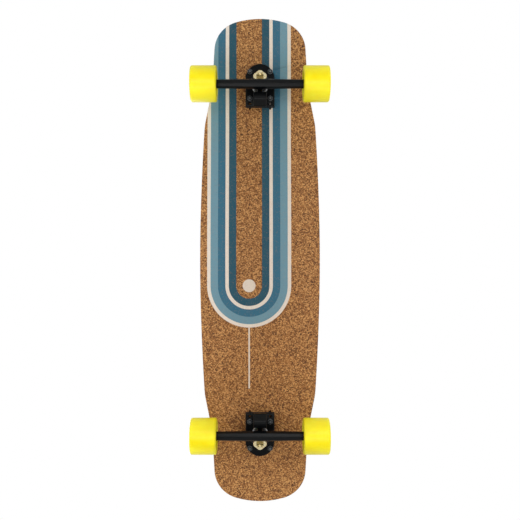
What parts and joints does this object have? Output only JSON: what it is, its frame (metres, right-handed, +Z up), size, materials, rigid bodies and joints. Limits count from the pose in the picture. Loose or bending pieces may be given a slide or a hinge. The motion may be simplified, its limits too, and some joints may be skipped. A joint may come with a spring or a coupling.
{
  "type": "longboard skateboard",
  "caption": "Symmetric longboard: a rockered, grip-taped deck with a cork base on reverse-kingpin trucks that lean to steer, each carrying soft wheels on ball bearings.",
  "frame": {"origin": "on the floor under the middle of the board", "axes": "+Z up, +Y along the board to the nose, +X to the rider's right"},
  "size_m": [0.269, 0.9904, 0.1288],
  "materials": {
    "grip": "black abrasive grit on a film",
    "fibre": "dark resin and fibre skin, sealed edge",
    "wood": "vertically laminated bamboo, sealed",
    "cork": "speckled cork sheet with a printed design",
    "riser": "matt black",
    "black_paint": "satin black powder coat on cast aluminium",
    "pivot_plastic": "black moulded plastic",
    "gold_steel": "pale gold zinc plated steel",
    "silver_steel": "zinc plated steel",
    "black_steel": "black oxide steel",
    "urethane_black": "cast urethane",
    "yellow_urethane": "cast urethane, smooth",
    "core_nylon": "black glass-filled nylon"
  },
  "bodies": {
    "board": {"grip_tape": "grip", "top_fibre_skin": "fibre", "deck_core": "wood", "base_fibre_skin": "fibre", "cork_base": "cork", "front_riser_pad": "riser", "front_baseplate": "black_paint", "front_pivot_cup": "pivot_plastic", "front_kingpin": "gold_steel", "front_kingpin_nut": "gold_steel", "front_boardside_bushing": "urethane_black", "front_boardside_washer": "silver_steel", "front_roadside_bushing": "urethane_black", "front_roadside_washer": "gold_steel", "front_deck_bolts": "black_steel", "front_lock_nuts": "silver_steel", "rear_riser_pad": "riser", "rear_baseplate": "black_paint", "rear_pivot_cup": "pivot_plastic", "rear_kingpin": "gold_steel", "rear_kingpin_nut": "gold_steel", "rear_boardside_bushing": "urethane_black", "rear_boardside_washer": "silver_steel", "rear_roadside_bushing": "urethane_black", "rear_roadside_washer": "gold_steel", "rear_deck_bolts": "black_steel", "rear_lock_nuts": "silver_steel"},
    "front_hanger_body": {"front_hanger": "black_paint", "front_axle": "silver_steel", "front_axle_nuts": "silver_steel", "front_speed_washers": "silver_steel", "front_bearing_spacers": "silver_steel", "front_bearing_inner_rings": "silver_steel"},
    "front_left_wheel": {"front_left_tyre": "yellow_urethane", "front_left_core": "core_nylon", "front_left_bearing_outer_rings": "silver_steel", "front_left_bearing_shields": "silver_steel"},
    "front_left_cages": {"front_left_bearing_balls": "silver_steel"},
    "front_right_wheel": {"front_right_tyre": "yellow_urethane", "front_right_core": "core_nylon", "front_right_bearing_outer_rings": "silver_steel", "front_right_bearing_shields": "silver_steel"},
    "front_right_cages": {"front_right_bearing_balls": "silver_steel"},
    "rear_hanger_body": {"rear_hanger": "black_paint", "rear_axle": "silver_steel", "rear_axle_nuts": "silver_steel", "rear_speed_washers": "silver_steel", "rear_bearing_spacers": "silver_steel", "rear_bearing_inner_rings": "silver_steel"},
    "rear_left_wheel": {"rear_left_tyre": "yellow_urethane", "rear_left_core": "core_nylon", "rear_left_bearing_outer_rings": "silver_steel", "rear_left_bearing_shields": "silver_steel"},
    "rear_left_cages": {"rear_left_bearing_balls": "silver_steel"},
    "rear_right_wheel": {"rear_right_tyre": "yellow_urethane", "rear_right_core": "core_nylon", "rear_right_bearing_outer_rings": "silver_steel", "rear_right_bearing_shields": "silver_steel"},
    "rear_right_cages": {"rear_right_bearing_balls": "silver_steel"}
  },
  "joints": [
    {"name": "front_truck_steer", "type": "hinge", "parent": "board", "child": "front_hanger_body", "pos_m": [0, 0.3535, 0.06978], "axis": [0, 0.788, 0.6157], "range_deg": [-20, 20], "stiffness_Nm_per_rad": 50, "deforming": ["front_boardside_bushing", "front_roadside_bushing"]},
    {"name": "front_left_wheel_spin", "type": "hinge", "parent": "front_hanger_body", "child": "front_left_wheel", "pos_m": [0, 0.34146, 0.035], "axis": [1, 0, 0], "continuous": true},
    {"name": "front_left_cage_spin", "type": "hinge", "parent": "front_hanger_body", "child": "front_left_cages", "pos_m": [0, 0.34146, 0.035], "axis": [1, 0, 0], "continuous": true},
    {"name": "front_right_wheel_spin", "type": "hinge", "parent": "front_hanger_body", "child": "front_right_wheel", "pos_m": [0, 0.34146, 0.035], "axis": [1, 0, 0], "continuous": true},
    {"name": "front_right_cage_spin", "type": "hinge", "parent": "front_hanger_body", "child": "front_right_cages", "pos_m": [0, 0.34146, 0.035], "axis": [1, 0, 0], "continuous": true},
    {"name": "rear_truck_steer", "type": "hinge", "parent": "board", "child": "rear_hanger_body", "pos_m": [0, -0.3535, 0.06978], "axis": [0, -0.788, 0.6157], "range_deg": [-20, 20], "stiffness_Nm_per_rad": 50, "deforming": ["rear_boardside_bushing", "rear_roadside_bushing"]},
    {"name": "rear_left_wheel_spin", "type": "hinge", "parent": "rear_hanger_body", "child": "rear_left_wheel", "pos_m": [0, -0.34146, 0.035], "axis": [1, 0, 0], "continuous": true},
    {"name": "rear_left_cage_spin", "type": "hinge", "parent": "rear_hanger_body", "child": "rear_left_cages", "pos_m": [0, -0.34146, 0.035], "axis": [1, 0, 0], "continuous": true},
    {"name": "rear_right_wheel_spin", "type": "hinge", "parent": "rear_hanger_body", "child": "rear_right_wheel", "pos_m": [0, -0.34146, 0.035], "axis": [1, 0, 0], "continuous": true},
    {"name": "rear_right_cage_spin", "type": "hinge", "parent": "rear_hanger_body", "child": "rear_right_cages", "pos_m": [0, -0.34146, 0.035], "axis": [1, 0, 0], "continuous": true}
  ],
  "couplings": [
    {"joint": "front_left_cage_spin", "follows": "front_left_wheel_spin", "ratio": 0.6323},
    {"joint": "front_right_cage_spin", "follows": "front_right_wheel_spin", "ratio": 0.6323},
    {"joint": "rear_left_cage_spin", "follows": "rear_left_wheel_spin", "ratio": 0.6323},
    {"joint": "rear_right_cage_spin", "follows": "rear_right_wheel_spin", "ratio": 0.6323}
  ]
}
